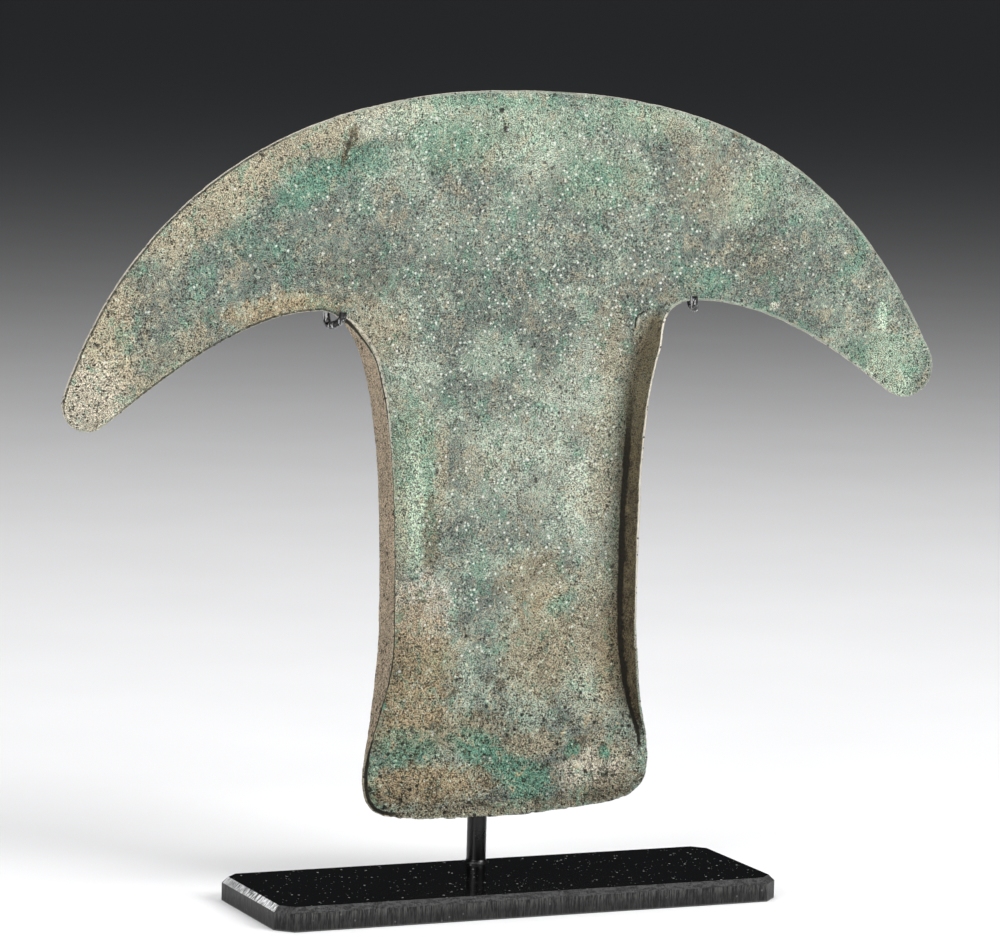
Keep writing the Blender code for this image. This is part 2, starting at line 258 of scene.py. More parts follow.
# Softboxes: name, size and place; all look at one spot
SOFTBOXES = (
    ("key", (0.5, 0.5), (0.55, -0.6, 0.6)),
    ("top", (0.9, 0.6), (0.0, 0.05, 0.9)),
    ("fill", (0.5, 0.5), (-0.7, -0.5, 0.35)),
)
LIT_SPOT = (0.0, 0.0, 0.06)
FLOOR_DROP = 0.02 * MM
AIR_TINT = (0.9, 0.95, 1.0, 1.0)
CAMERA_SENSOR = 36.0
CAMERA_LENS = 162.0


# --- Settings ------------------------------------------------------------------------------


def colour_setting(name, description, default):
    return FloatVectorProperty(
        name=name,
        description=description,
        default=default,
        size=3,
        min=0.0,
        max=1.0,
        subtype="COLOR",
    )


def length_setting(name, description, default):
    return FloatProperty(
        name=name, description=description, default=default, min=0.0, unit="LENGTH", precision=5
    )


def power_setting(name, description, default):
    return FloatProperty(name=name, description=description, default=default, unit="POWER")


class HoeBladeSettings(bpy.types.PropertyGroup):
    """Relief and colours of the corroded copper."""

    grain_height: length_setting("Grain height", "Height of the corroded grains", 0.05 * MM)
    lump_height: length_setting("Lump height", "Height of the wider hammered swells", 0.16 * MM)
    nibble_depth: length_setting("Edge loss", "How far corrosion has eaten the edge", 0.24 * MM)
    ground: colour_setting("Ground", "Grey-green of most of the sheet", (0.268, 0.318, 0.256))
    tan: colour_setting("Tan", "Earthy tan of the arms and edges", (0.365, 0.318, 0.220))
    ochre: colour_setting("Ochre", "Brown-orange of the foot and the strip", (0.385, 0.285, 0.160))
    green: colour_setting("Green", "Light green bloom", (0.265, 0.365, 0.262))
    bloom: colour_setting("Bloom", "Palest green crust", (0.500, 0.600, 0.460))
    teal: colour_setting("Teal", "Deep blue-green bloom", (0.112, 0.255, 0.178))
    shade: colour_setting("Shade", "Dark grey-green of the smooth skin", (0.150, 0.178, 0.152))
    # Pale grey-green, also used as the painted highlight along the blade's edges
    pale: colour_setting("Pale", "Pale grey-green crust", (0.480, 0.525, 0.425))
    # Dark brown dirt, also used as the colour of the painted shadow inside the right flange
    earth: colour_setting("Earth", "Dark brown dirt", (0.130, 0.102, 0.058))
    pit: colour_setting("Pit", "Near-black of the pits", (0.018, 0.016, 0.011))
    crease_dirt_and_shade: colour_setting("Crease", "Dirt packed along the flanges", (0.022, 0.018, 0.011))
    # Near-black of dirt and painted shade in the creases along the flanges
    wall: colour_setting("Flange side", "Earthy brown of the outer sides", (0.370, 0.295, 0.205))
    # Bright rim colour, also used as painted highlights on the right flange's rim, the head's side,
    # the left lip and a crack's edge
    rim: colour_setting("Rim", "Bare bright rims", (0.860, 0.780, 0.660))
    speck: colour_setting("Speck", "White crystals", (0.90, 0.92, 0.85))


class HoeStandSettings(bpy.types.PropertyGroup):
    """Paint and bare metal of the stand."""

    paint: colour_setting("Paint", "Black paint", (0.0018, 0.0018, 0.0020))
    filed: colour_setting("Filed metal", "Grey of the filed edges", (0.30, 0.30, 0.29))
    # Bright metal, also used as a painted highlight on the base's left end bevel
    bare: colour_setting("Bare metal", "Bright metal of fresh file marks", (0.95, 0.96, 0.97))
    dust: colour_setting("Dust", "Specks of dust", (0.36, 0.36, 0.36))
    post_foot_width: length_setting("Foot fillet", "Width round the post's foot", 0.55 * MM)


class HoeStageSettings(bpy.types.PropertyGroup):
    """Floor, lights and camera."""

    floor: colour_setting("Floor", "Pale floor", (0.82, 0.82, 0.83))
    floor_half: length_setting("Floor half size", "Half the floor's side", 40.0)
    key_power: power_setting("Key light", "Power of the key light", 7.5)
    top_power: power_setting("Top light", "Power of the light above", 8.0)
    fill_power: power_setting("Fill light", "Power of the light at the left", 3.4)
    air: FloatProperty(
        name="Air", description="Brightness of the surroundings", default=0.025, min=0.0
    )


# --- Shader helpers ------------------------------------------------------------------------


class Value:
    """A number socket; Python's operators on it add Math nodes."""

    def __init__(self, nodes, socket):
        self.nodes = nodes
        self.socket = socket

    def __add__(self, other):
        return self.nodes.math("ADD", self, other)

    __radd__ = __add__

    def __sub__(self, other):
        return self.nodes.math("SUBTRACT", self, other)

    def __rsub__(self, other):
        return self.nodes.math("SUBTRACT", other, self)

    def __mul__(self, other):
        return self.nodes.math("MULTIPLY", self, other)

    __rmul__ = __mul__

    def __truediv__(self, other):
        return self.nodes.math("DIVIDE", self, other)


class Finish:
    """A material's node tree, with one method that adds any node."""

    def __init__(self, name):
        self.material = bpy.data.materials.new(name)
        self.material.use_nodes = True
        self.tree = self.material.node_tree
        self.tree.nodes.clear()
        self.shader = self.add("ShaderNodeBsdfPrincipled")
        self.add("ShaderNodeOutputMaterial", inputs={"Surface": self.shader.outputs["BSDF"]})

    def add(self, kind, settings=None, inputs=None):
        """Add a node: its settings first, then the values or links of its sockets."""
        node = self.tree.nodes.new(kind)
        for name, value in (settings or {}).items():
            setattr(node, name, value)
        for name, value in (inputs or {}).items():
            self.feed(node.inputs[name], value)
        return node

    def feed(self, socket, value):
        """Set a socket to a value, or link it."""
        if isinstance(value, Value):
            value = value.socket
        if isinstance(value, bpy.types.NodeSocket):
            self.tree.links.new(value, socket)
        elif socket.type == "RGBA" and len(value) == 3:
            socket.default_value = (*value, 1.0)
        else:
            socket.default_value = value

    def math(self, operation, first, second=0.0, third=0.0):
        inputs = {0: first, 1: second}
        if operation == "MULTIPLY_ADD":
            inputs[2] = third
        node = self.add("ShaderNodeMath", {"operation": operation}, inputs)
        return Value(self, node.outputs[0])

    def step(self, value, low, high, most=1.0):
        """A smooth way from 0 at low to the most at high; low may be the higher number."""
        settings = {"interpolation_type": "SMOOTHSTEP"}
        inputs = {"Value": value, "From Min": min(low, high), "From Max": max(low, high)}
        inputs["To Min"] = 0.0 if low < high else most
        inputs["To Max"] = most if low < high else 0.0
        node = self.add("ShaderNodeMapRange", settings, inputs)
        return Value(self, node.outputs["Result"])

    def band(self, value, rise, fall):
        """1 between two smooth ways: up over the first pair of values, down over the second."""
        return self.step(value, *rise) * self.step(value, fall[1], fall[0])

    def mix(self, share, first, second):
        """Blend two colours."""
        settings = {"data_type": "RGBA", "clamp_factor": True}
        node = self.add("ShaderNodeMix", settings, {0: share, 6: first, 7: second})
        return node.outputs[2]

    def scaled_colour(self, colour, value):
        """A colour times a number."""
        settings = {"operation": "SCALE"}
        node = self.add("ShaderNodeVectorMath", settings, {0: colour, "Scale": value})
        return node.outputs[0]

    def place(self, scale=(1.0, 1.0, 1.0)):
        """Place on the object in millimetres, times a scale on each axis."""
        where = self.add("ShaderNodeTexCoord").outputs["Object"]
        settings = {"operation": "MULTIPLY"}
        scale = tuple(number / MM for number in scale)
        return self.add("ShaderNodeVectorMath", settings, {0: where, 1: scale}).outputs[0]

    def noise(self, place, scale, detail=2.0, roughness=0.5, distortion=0.0):
        """Cloudy noise from about 0.2 to 0.8."""
        inputs = {
            "Vector": place,
            "Scale": scale,
            "Detail": detail,
            "Roughness": roughness,
            "Distortion": distortion,
        }
        node = self.add("ShaderNodeTexNoise", {"noise_dimensions": "3D"}, inputs)
        return Value(self, node.outputs[0])

    def cells(self, place, scale, dimensions="3D"):
        """Distance to the nearest of scattered points, and a random colour for each."""
        inputs = {"Vector": place, "Scale": scale}
        node = self.add("ShaderNodeTexVoronoi", {"voronoi_dimensions": dimensions}, inputs)
        return Value(self, node.outputs["Distance"]), node.outputs["Color"]

    def attribute(self, name):
        node = self.add("ShaderNodeAttribute", {"attribute_name": name})
        return Value(self, node.outputs["Fac"])

    def split(self, vector):
        node = self.add("ShaderNodeSeparateXYZ", inputs={0: vector})
        return [Value(self, socket) for socket in node.outputs]

    def bump(self, height, strength, distance):
        inputs = {"Height": height, "Strength": strength, "Distance": distance}
        bumped = self.add("ShaderNodeBump", inputs=inputs).outputs[0]
        self.feed(self.shader.inputs["Normal"], bumped)

    def set(self, **inputs):
        for name, value in inputs.items():
            self.feed(self.shader.inputs[name.replace("_", " ").title()], value)


# --- Finishes ------------------------------------------------------------------------------


class Patina(Finish):
    """Corroded copper: patches of bloom and earth, broken into grains, pits and specks.

    Places and distances are in millimetres.
    """

    def __init__(self, settings, back_depth):
        super().__init__("patina_fine")
        self.settings = settings
        place = self.place()
        self.across, depth, self.up = self.split(place)
        self.front = self.step(depth, back_depth - 0.3, back_depth - 0.6)
        self.behind = (1.0 - self.front) * 9.0
        self.edge = self.attribute("edge_distance")
        self.rise = self.attribute("flange_rise")
        self.broad = self.noise(place, 0.11, 3.0, 0.62)
        self.middle = self.noise(place, 0.55, 3.0, 0.7)
        self.fine = self.noise(place, 2.6, 2.0, 0.75)
        self.finest = self.noise(place, 6.3, 1.0, 0.6)
        self.blotch = self.noise(self.place((1.0, 1.0, 0.8)), 0.3, 4.0, 0.8, 0.5)
        self.low = self.step(self.up, 50.0, 16.0)
        self.top = self.step(self.up, 68.0, 82.0)
        self.left = self.step(self.across, 0.0, -6.0)
        self.right = 1.0 - self.left
        self.wall = self.step(self.edge, 0.1, 0.0)
        self.flange_wall = self.wall * self.step(self.rise, 0.2, 1.2)
        self.corner = self.step(self.up, 34.0, 26.0) * self.step(self.across, -12.0, -16.0)

        # The blade unrolled onto a plane, so that dots aren't stretched on the flanges
        raised = depth - (back_depth - SHEET_THICKNESS / MM)
        leaned = self.across + raised * (0.8 - self.step(self.across, -15.0, 15.0, 1.6))
        unrolled = {"X": leaned, "Y": self.up + raised * 0.55}
        self.sheet = self.add("ShaderNodeCombineXYZ", inputs=unrolled).outputs[0]

        skin = self.step(self.broad, 0.42, 0.6)
        self.colour = self.mix(skin, settings.shade, settings.ground)

    def cover(self, share, colour):
        """Lay a colour over what is there."""
        self.colour = self.mix(share, self.colour, colour)

    def lay_patch(self, patch, wander):
        """Lay a patch: full inside, with a ragged rim."""
        x, z, half_wide, half_tall, turn, colour, strength = patch
        reach = wander
        for angle, half in ((turn, half_wide), (turn + 90.0, half_tall)):
            cosine = math.cos(math.radians(angle)) / half
            sine = math.sin(math.radians(angle)) / half
            gap = -(x * cosine + z * sine)
            if abs(sine) * half > SAME:
                gap = self.math("MULTIPLY_ADD", self.up, sine, gap)
            if abs(cosine) * half > SAME:
                gap = self.math("MULTIPLY_ADD", self.across, cosine, gap)
            reach = self.math("MULTIPLY_ADD", gap, gap, reach)
        self.cover(self.step(reach, 1.5, 0.25, strength), getattr(self.settings, colour))

    def lay_patches(self):
        """Every patch, the small ones on the front alone."""
        wander = (self.middle - 0.5) * 3.4 + (self.fine - 0.5) * 1.3
        mark_wander = wander + self.behind
        for patch in PATCHES:
            self.lay_patch(patch, wander if max(patch[2:4]) > MARK_SIZE else mark_wander)

    def mottle(self):
        """Break the patches up, down to single grains."""
        tones = self.settings
        self.cover(self.step(self.blotch, 0.55, 0.61) * 0.5, tones.teal)
        self.cover(self.step(self.blotch, 0.45, 0.39) * 0.5, tones.tan)
        self.cover(self.step(self.middle, 0.6, 0.68) * (0.25 + self.low * 0.4), tones.ochre)
        self.cover(self.step(self.middle, 0.4, 0.32) * (0.3 + self.low * 0.3), tones.shade)
        clod = self.step(self.middle + (self.fine - 0.5) * 0.6, 0.44, 0.34) * self.low
        self.cover(clod * 0.6, tones.earth)
        grain_colour = self.cells(self.sheet, 2.6, "2D")[1]
        pick, self.grain_pick, third_pick = self.split(grain_colour)
        self.cover(self.step(pick, 0.78, 0.82) * 0.26, tones.tan)
        self.cover(self.step(pick, 0.15, 0.11) * 0.24, tones.teal)
        self.cover(self.step(third_pick, 0.92, 0.96) * 0.5, tones.pale)

    def colour_flanges(self):
        """Earth on the flanges' outer sides, and dirt and painted shade inside the right one."""
        tones, edge, rise = self.settings, self.edge, self.rise
        self.cover(self.flange_wall * 0.9, tones.wall)
        # Inside the right flange: dirt and painted shade, darkest near the rim and lighter towards
        # the top
        inner_dirt_and_shade = self.band(edge, (0.4, 0.55), (1.3, 1.9)) * self.step(rise, 0.4, 1.5)
        inner_dirt_and_shade_colour = self.mix(
            self.step(self.middle, 0.45, 0.65) * 0.5, tones.crease_dirt_and_shade, tones.earth
        )
        inner_dirt_and_shade_colour = self.mix(self.step(self.fine, 0.5, 0.66) * 0.22, inner_dirt_and_shade_colour, tones.wall)
        inner_dirt_and_shade = inner_dirt_and_shade * self.right * self.front * (0.95 - self.top * 0.6)
        self.cover(inner_dirt_and_shade, inner_dirt_and_shade_colour)
        left_rim = self.step(edge, 0.4, 0.3) * self.step(rise, 0.3, 0.8) * self.left * self.front
        self.cover(left_rim * 0.9, tones.wall)
        self.cover(self.step(edge, 0.55, 0.3) * self.corner * 0.8, tones.wall)
        # Painted shadow of the right flange, with dirt, fading out across the sheet up to 4.6 mm
        # from the edge
        painted_shadow_and_dirt = self.band(edge, (0.35, 0.5), (1.1, 4.6)) * self.step(rise, 0.5, 2.5)
        painted_shadow_and_dirt = painted_shadow_and_dirt * self.right * self.front * (0.25 + self.middle * 0.8 + self.top * 0.2)
        self.cover(painted_shadow_and_dirt, tones.earth)

    def shade_grains(self):
        """Make each grain lighter or darker."""
        low = self.low
        grain = (self.fine - 0.5) * (2.3 + low * 2.4) + (self.finest - 0.5) * 9.5
        grain = grain + (self.grain_pick - 0.5) * 0.5
        grain = grain + (self.middle - 0.5) * (1.6 + low * 1.6) + (self.broad - 0.5) * 0.8
        grain = self.math("MINIMUM", grain, 0.8) + 0.15 + low * 0.13
        brightness = self.math("POWER", GRAIN_CONTRAST, grain)
        self.colour = self.scaled_colour(self.colour, brightness)

    def lay_cracks(self):
        """Cracks and deep pits of the front, over the grains."""
        wander = (self.fine - 0.5) * 1.2 + self.behind
        for crack in CRACKS:
            self.lay_patch(crack, wander)

    def line_flanges(self):
        """Dark line of dirt and painted shade along each flange; pale lip beside the left one, a
        painted highlight.
        """
        left, right, edge, rise = self.left, self.right, self.edge, self.rise
        # Dark line along each flange's foot: dirt and painted shade in the creases
        wavy = (self.middle - 0.5) * 0.9 + (self.broad - 0.5) * 1.0 + (self.fine - 0.5) * 0.3
        from_line = edge - (left * 0.36 + right * 1.25 + wavy * (0.2 + right * 0.3))
        line = self.band(from_line, (-0.28, -0.12), (0.3, 0.5))
        line = line * self.math("MAXIMUM", self.step(rise, 0.03, 0.3), self.corner)
        self.line = line * (1.0 - right * self.top * 0.8) * self.front
        self.cover(self.line, self.settings.crease_dirt_and_shade)
        # Pale lip beside the left flange: a painted highlight
        from_lip = edge - rise * 0.3 - 0.62
        lip = self.band(from_lip, (-0.2, -0.1), (0.2, 0.36)) * self.step(rise, 0.2, 0.6)
        lip = lip * left * self.front * self.step(self.up, 60.0, 75.0)
        lip = lip * self.step(self.fine, 0.36, 0.46)
        self.cover(lip * 0.7, self.settings.rim)

    def edge_rims(self):
        """Painted highlights on the pale rims and the bright side of the head, and the dark arris
        of the left arm.
        """
        tones, edge, up = self.settings, self.edge, self.up
        # Pale band along every edge, brightest on the head: a painted highlight
        rim = self.band(edge, (0.0, 0.1), (0.34, 0.46)) * self.step(self.middle, 0.3, 0.42)
        rim = rim * (1.0 - self.line * self.left)
        # Bright rim of the right flange: a painted highlight
        flange_rim_highlight = rim * self.step(self.rise, 0.3, 1.5) * self.right * self.step(up, 36.0, 50.0)
        self.cover(rim * (0.3 + self.step(up, 70.0, 90.0) * 0.25), tones.pale)
        self.cover(flange_rim_highlight * 0.9, tones.rim)
        # Bright side of the head: a painted highlight
        head_side_highlight = self.wall * (1.0 - self.flange_wall) * self.step(up, 60.0, 70.0)
        self.cover(head_side_highlight * 0.85, tones.rim)
        arris = self.band(edge, (0.04, 0.12), (0.34, 0.48)) * self.step(up, 72.0, 80.0)
        arris = arris * self.step(self.across + up * 0.55, 36.0, 26.0)
        arris = arris * self.left * self.front * self.step(self.fine, 0.34, 0.46)
        self.cover(arris * 0.85, tones.crease_dirt_and_shade)

    def scattered(self, scale, channel):
        """Distance to scattered points of the sheet, and a random number for each."""
        gap, colour = self.cells(self.sheet, scale, "2D")
        return gap, self.split(colour)[channel]

    def open_pits(self):
        """Large and small dark pits, thickest on the foot; gives where they are."""
        ragged = (self.fine - 0.5) * 0.4
        gap, pick = self.scattered(0.8, 0)
        crowd = 0.012 + 0.085 * self.low + self.flange_wall * 0.08
        pits = self.step(gap + ragged, 0.28, 0.16) * self.step(pick - crowd, 0.02, -0.02)
        gap, pick = self.scattered(2.3, 1)
        arm = self.step(self.across, -20.0, -50.0)
        crowd = 0.1 + 0.15 * self.low + 0.04 * arm + self.flange_wall * 0.12
        small = self.step(gap + ragged, 0.4, 0.26) * self.step(pick - crowd, 0.02, -0.02)
        pits = self.math("MAXIMUM", pits, small)
        self.cover(pits * 0.9, self.settings.pit)
        return pits

    def scatter_specks(self):
        """White specks, thickest in the middle of the head; gives where they are."""
        gap, pick = self.scattered(1.8, 2)
        centre = self.band(self.across, (-32.0, -4.0), (22.0, 50.0))
        centre = centre * self.step(self.up, 30.0, 60.0)
        crowd = 0.01 + centre * 0.16 * self.step(self.blotch, 0.42, 0.58)
        uneven = gap + (self.fine - 0.5) * 0.9 + (self.finest - 0.5) * 0.7
        uneven = uneven + pick / (crowd + 0.05) * 0.26
        specks = self.step(uneven, 0.42, 0.32) * self.step(pick - crowd, 0.01, -0.01)
        specks = specks * self.step(self.edge, 2.0, 3.0)
        self.cover(specks * 0.95, self.settings.speck)
        return specks

    def roughen(self, pits, specks):
        """Roughness, and the bump of grains, pits and specks."""
        fine, low = self.fine, self.low
        self.set(base_color=self.colour, roughness=0.74 + (fine - 0.5) * 0.4)
        self.shader.inputs["Specular IOR Level"].default_value = 0.35
        height = fine * (0.8 + low * 1.2) + self.finest * 0.6 + self.middle * (0.7 + low * 2.4)
        self.bump(height - pits + specks * 0.4, 1.0, 0.5 * MM)


def patina_finish(settings, back_depth):
    patina = Patina(settings, back_depth)
    patina.lay_patches()
    patina.mottle()
    patina.colour_flanges()
    patina.shade_grains()
    patina.lay_cracks()
    patina.line_flanges()
    patina.edge_rims()
    pits = patina.open_pits()
    specks = patina.scatter_specks()
    patina.roughen(pits, specks)
    return patina.material


def base_finish(settings):
    """Black paint, glossy on top, with dust, file marks along the top edge and worn corners, and a
    painted highlight on the left end's bevel.
    """
    finish = Finish("base_black")
    place = finish.place()
    across, depth, up = finish.split(place)
    normal = finish.split(finish.add("ShaderNodeNewGeometry").outputs["Normal"])
    facing_up = finish.step(normal[2], 0.9, 0.97)
    slanted = finish.step(normal[2], 0.2, 0.4) * finish.step(normal[2], 0.95, 0.9)
    end_side = finish.step(normal[0], -0.5, -0.6)
    strokes = finish.noise(finish.place((1.0, 0.9, 0.1)), 5.0, 3.0, 0.7)
    diagonal = finish.noise(finish.place((0.35, 1.5, 0.35)), 1.9, 3.0, 0.75, 0.4)
    cloud = finish.noise(place, 0.12, 3.0, 0.6)

    colour = finish.scaled_colour(settings.paint, 0.7 + cloud * 0.7)
    side = 1.0 - facing_up
    lined = finish.step(strokes, 0.38, 0.68)
    high_part = finish.step(up, 1.2, 2.6)
    grey = side * (0.04 + lined * (0.1 + high_part * 0.17)) * (1.0 - slanted * 0.55)
    colour = finish.mix(grey, colour, settings.filed)
    marks = finish.step(diagonal, 0.42, 0.56)
    front_end = finish.step(depth, 6.0, -10.0)
    # Bare metal on the bevels: real file marks, and on the left end a painted highlight as well
    worn = slanted * marks * 0.035 * (1.0 - end_side)
    worn = worn + slanted * end_side * (0.06 + marks * (0.64 + front_end * 0.3))
    colour = finish.mix(worn, colour, settings.bare)
    foot_line = finish.step(up, 0.3, 0.1) * side
    colour = finish.mix(foot_line * 0.25, colour, settings.filed)

    gap, cell = finish.cells(place, 0.9)
    pick = finish.split(cell)[0]
    specks = finish.step(gap, 0.2, 0.08) * finish.step(pick, 0.78, 0.82)
    tiny_gap, tiny_cell = finish.cells(place, 2.2)
    tiny_pick = finish.split(tiny_cell)[1]
    tiny = finish.step(tiny_gap, 0.24, 0.12) * finish.step(tiny_pick, 0.88, 0.9)
    dust = finish.math("MAXIMUM", specks, tiny * 0.7) * (0.2 + facing_up * 0.8)
    colour = finish.mix(dust, colour, settings.dust)

    rough = 0.16 + side * 0.3 + slanted * 0.12 + dust * 0.4 + (cloud - 0.5) * 0.08
    finish.set(base_color=colour, roughness=rough)
    finish.shader.inputs["Specular IOR Level"].default_value = 0.15
    finish.bump(strokes * side + diagonal * slanted * 1.5 + dust * 0.5, 0.4, 0.1 * MM)
    return finish.material


def rod_finish(settings, name, worn_share):
    """Black paint on thin round stock, worn to bare metal in streaks."""
    finish = Finish(name)
    place = finish.place()
    streak = finish.noise(finish.place((1.0, 1.0, 0.25)), 2.2, 3.0, 0.7)
    cloud = finish.noise(place, 0.4, 3.0, 0.6)
    worn = finish.step(streak, 0.72 - worn_share, 0.8 - worn_share)
    colour = finish.scaled_colour(settings.paint, 0.8 + cloud * 0.8)
    colour = finish.mix(worn * 0.7, colour, settings.bare)
    gap, cell = finish.cells(place, 1.2)
    pick = finish.split(cell)[0]
    specks = finish.step(gap, 0.2, 0.08) * finish.step(pick, 0.85, 0.88)
    colour = finish.mix(specks * 0.6, colour, settings.dust)
    rough = 0.3 + (cloud - 0.5) * 0.2 + worn * 0.1
    finish.set(base_color=colour, roughness=rough, metallic=worn * 0.6)
    finish.bump(streak * 0.5 + cloud, 0.25, 0.08 * MM)
    return finish.material


def floor_finish(settings):
    finish = Finish("floor_pale")
    grain = finish.noise(finish.place(), 0.02, 3.0)
    colour = finish.scaled_colour(settings.floor, 0.97 + grain * 0.06)
    finish.set(base_color=colour, roughness=0.8 + grain * 0.1)
    return finish.material


# --- Blade ---------------------------------------------------------------------------------


def edge_loop(node):
    """The blade's outline in the solid, in order: across, up and the height of its flange."""
    bm = bmesh.new()
    bm.from_mesh(node.data)
    bmesh.ops.remove_doubles(bm, verts=bm.verts, dist=SAME)
    back_y = max(vert.co.y for vert in bm.verts)
    ring_y = back_y - BLADE_BACK_ROUND
    ring = {vert for vert in bm.verts if abs(vert.co.y - ring_y) < SAME}
    first = min(ring, key=lambda vert: vert.co.z)
    order = [first]
    while True:
        beside = [edge.other_vert(order[-1]) for edge in order[-1].link_edges]
        further = [vert for vert in beside if vert in ring and vert not in order[-2:]]
        if len(order) > 2 and first in further:
            break
        order.append(further[0])

    fronts = {}
    for vert in bm.verts:
        spot = (round(vert.co.x, 6), round(vert.co.z, 6))
        fronts[spot] = min(vert.co.y, fronts.get(spot, back_y))
    loop = []
    for vert in order:
        front_y = fronts[(round(vert.co.x, 6), round(vert.co.z, 6))]
        loop.append((vert.co.x, vert.co.z, max(0.0, back_y - front_y - EDGE_THICKNESS)))
    bm.free()
    return np.array(loop), back_y


def smooth_loop(points, step):
    """Points at an even step along a smooth closed curve through the given ones."""
    before = np.roll(points, 1, axis=0)
    after = np.roll(points, -1, axis=0)
    beyond = np.roll(points, -2, axis=0)
    shares = np.linspace(0.0, 1.0, 9)[:-1, None, None]
    a = 2.0 * points
    b = after - before
    c = 2.0 * before - 5.0 * points + 4.0 * after - beyond
    d = 3.0 * points - before - 3.0 * after + beyond
    dense = 0.5 * (a + b * shares + c * shares**2 + d * shares**3)
    dense = dense.transpose(1, 0, 2).reshape(-1, points.shape[1])
    closed = np.vstack([dense, dense[:1]])
    gaps = np.linalg.norm(np.diff(closed[:, :2], axis=0), axis=1)
    run = np.concatenate([[0.0], np.cumsum(gaps)])
    count = int(run[-1] / step)
    places = np.arange(count) * run[-1] / count
    return np.column_stack([np.interp(places, run, column) for column in closed.T])


def inward_ways(loop):
    """Directions from each point of the loop into the sheet."""
    ahead = np.roll(loop[:, :2], -2, axis=0) - np.roll(loop[:, :2], 2, axis=0)
    ahead /= np.linalg.norm(ahead, axis=1)[:, None]
    ways = np.column_stack([ahead[:, 1], -ahead[:, 0]])
    x, z = loop[:, 0], loop[:, 1]
    turn = np.sum(x * np.roll(z, -1) - np.roll(x, -1) * z)
    return ways if turn < 0 else -ways


def ease(share):
    share = np.clip(share, 0.0, 1.0)
    return share * share * (3.0 - 2.0 * share)


def sheet_depth(inset):
    """Thickness of the plain sheet at a distance from its edge."""
    return EDGE_THICKNESS + (SHEET_THICKNESS - EDGE_THICKNESS) * ease(inset / EDGE_TAPER)


def fill(loop, step, clear):
    """Triangles that fill a loop, on points in offset rows kept clear of the loop."""
    tree = kdtree.KDTree(len(loop))
    for index, (x, z) in enumerate(loop):
        tree.insert((x, z, 0.0), index)
    tree.balance()
    low, high = loop.min(axis=0), loop.max(axis=0)
    row_gap = step * math.sqrt(3.0) / 2.0
    inner = []
    for row, z in enumerate(np.arange(low[1], high[1], row_gap)):
        ahead = np.roll(loop, -1, axis=0)
        hits = (loop[:, 1] <= z) != (ahead[:, 1] <= z)
        share = (z - loop[hits, 1]) / (ahead[hits, 1] - loop[hits, 1])
        crossings = np.sort(loop[hits, 0] + share * (ahead[hits, 0] - loop[hits, 0]))
        for left, right in zip(crossings[::2], crossings[1::2]):
            start = math.ceil((left - low[0]) / step) * step + low[0] + (row % 2) * step / 2.0
            inner.extend((x, z) for x in np.arange(start, right, step))
    inner = [spot for spot in inner if tree.find((*spot, 0.0))[2] > clear]
    count = len(loop)
    spots = [Vector(spot) for spot in loop] + [Vector(spot) for spot in inner]
    edges = [(index, (index + 1) % count) for index in range(count)]
    made = delaunay_2d_cdt(spots, edges, [], 1, 1e-9)
    if len(made[0]) != len(spots):
        raise RuntimeError("the blade's outline crosses itself")
    return np.array([tuple(spot) for spot in made[0]]), [tuple(face) for face in made[2]]


def relief(spots, normals, inset, settings):
    """How far each point stands out of the smooth blade: swells, grains, knobs and hollows."""
    heights = np.zeros(len(spots))
    for index, spot in enumerate(spots):
        place = Vector(spot) / MM
        swell = noise.fractal(place * 0.07, 1.0, 2.0, 2)
        lumps = noise.fractal(place * 0.45, 0.7, 2.1, 3)
        grains = noise.fractal(place * 1.6, 0.5, 2.0, 1)
        low = min(max((46.0 - place.z) / 30.0, 0.0), 1.0)
        heights[index] = swell * settings.lump_height
        heights[index] += (lumps * 0.9 + grains * 0.9) * settings.grain_height * (1.0 + 1.6 * low)
    heights -= heights.max() * 0.5
    front = normals[:, 1] < -0.5
    across, up = spots[:, 0] / MM, spots[:, 2] / MM
    for x, z, half, height in KNOBS:
        near = np.exp(-(((across - x) ** 2 + (up - z) ** 2) / half**2) ** 1.5)
        heights += near * height * MM * front
    x, z, radius, height = CRATER
    gap = (np.hypot(across - x, up - z) - radius) / 0.35
    heights += np.exp(-(gap**2)) * height * MM * front
    hold = ease(inset / (0.8 * MM))
    return heights * (0.35 + 0.65 * hold)


